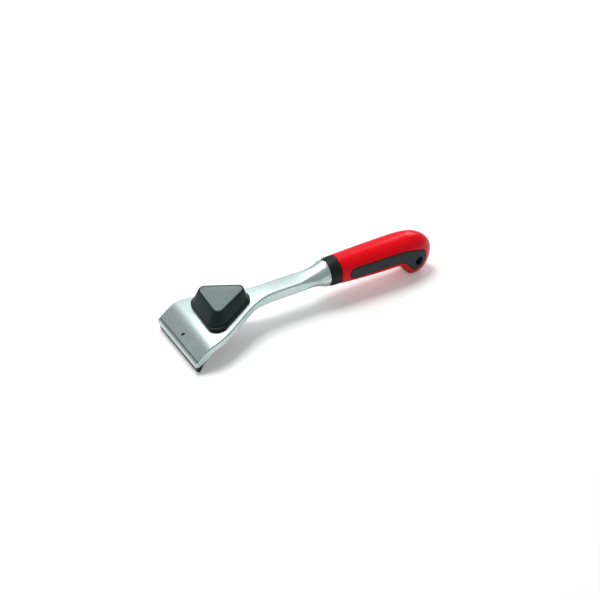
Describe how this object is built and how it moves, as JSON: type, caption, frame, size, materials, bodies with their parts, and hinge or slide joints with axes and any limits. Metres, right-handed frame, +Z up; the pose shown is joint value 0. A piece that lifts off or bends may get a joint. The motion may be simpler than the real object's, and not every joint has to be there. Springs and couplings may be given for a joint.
{
  "type": "draw scraper",
  "caption": "Two-handed draw scraper with a wide clamped blade, a sloping cast head with a pressure knob, a slim neck and a hooked red and black handle.",
  "frame": {"origin": "middle of the overall box, on the table under the tool", "axes": "+X from the blade towards the handle, +Y to the far side of the picture, +Z up"},
  "size_m": [0.2322, 0.066, 0.0413],
  "materials": {
    "cast_aluminium": "satin die casting",
    "black_steel": "blackened, ground edge",
    "plated_steel": "zinc plated",
    "knob_plastic": "fine grain",
    "cap_plastic": "fine grain",
    "black_plastic": "satin",
    "red_plastic": "gloss",
    "soft_grip": "matt"
  },
  "bodies": {
    "head": {"head_casting": "cast_aluminium", "scraper_blade": "black_steel", "locating_pin": "plated_steel", "collar": "black_plastic", "handle_core": "red_plastic", "grip_left": "soft_grip", "grip_right": "soft_grip"},
    "knob": {"knob_body": "knob_plastic", "knob_cap": "cap_plastic", "knob_base": "black_plastic", "clamp_bolt": "plated_steel", "thrust_washer": "plated_steel"},
    "clamp": {"clamp_jaw": "plated_steel", "clamp_nut": "plated_steel"}
  },
  "joints": [
    {"name": "knob_turn", "type": "hinge", "parent": "head", "child": "knob", "pos_m": [-0.0779, 0, 0.02485], "axis": [-0.1599, 0, 0.9871], "range_deg": [0, 1440]},
    {"name": "jaw_travel", "type": "slide", "parent": "head", "child": "clamp", "axis": [0.1599, 0, -0.9871], "range_m": [0, 0.00502]}
  ],
  "couplings": [
    {"joint": "jaw_travel", "follows": "knob_turn", "m_per_rad": 0.00019894}
  ]
}
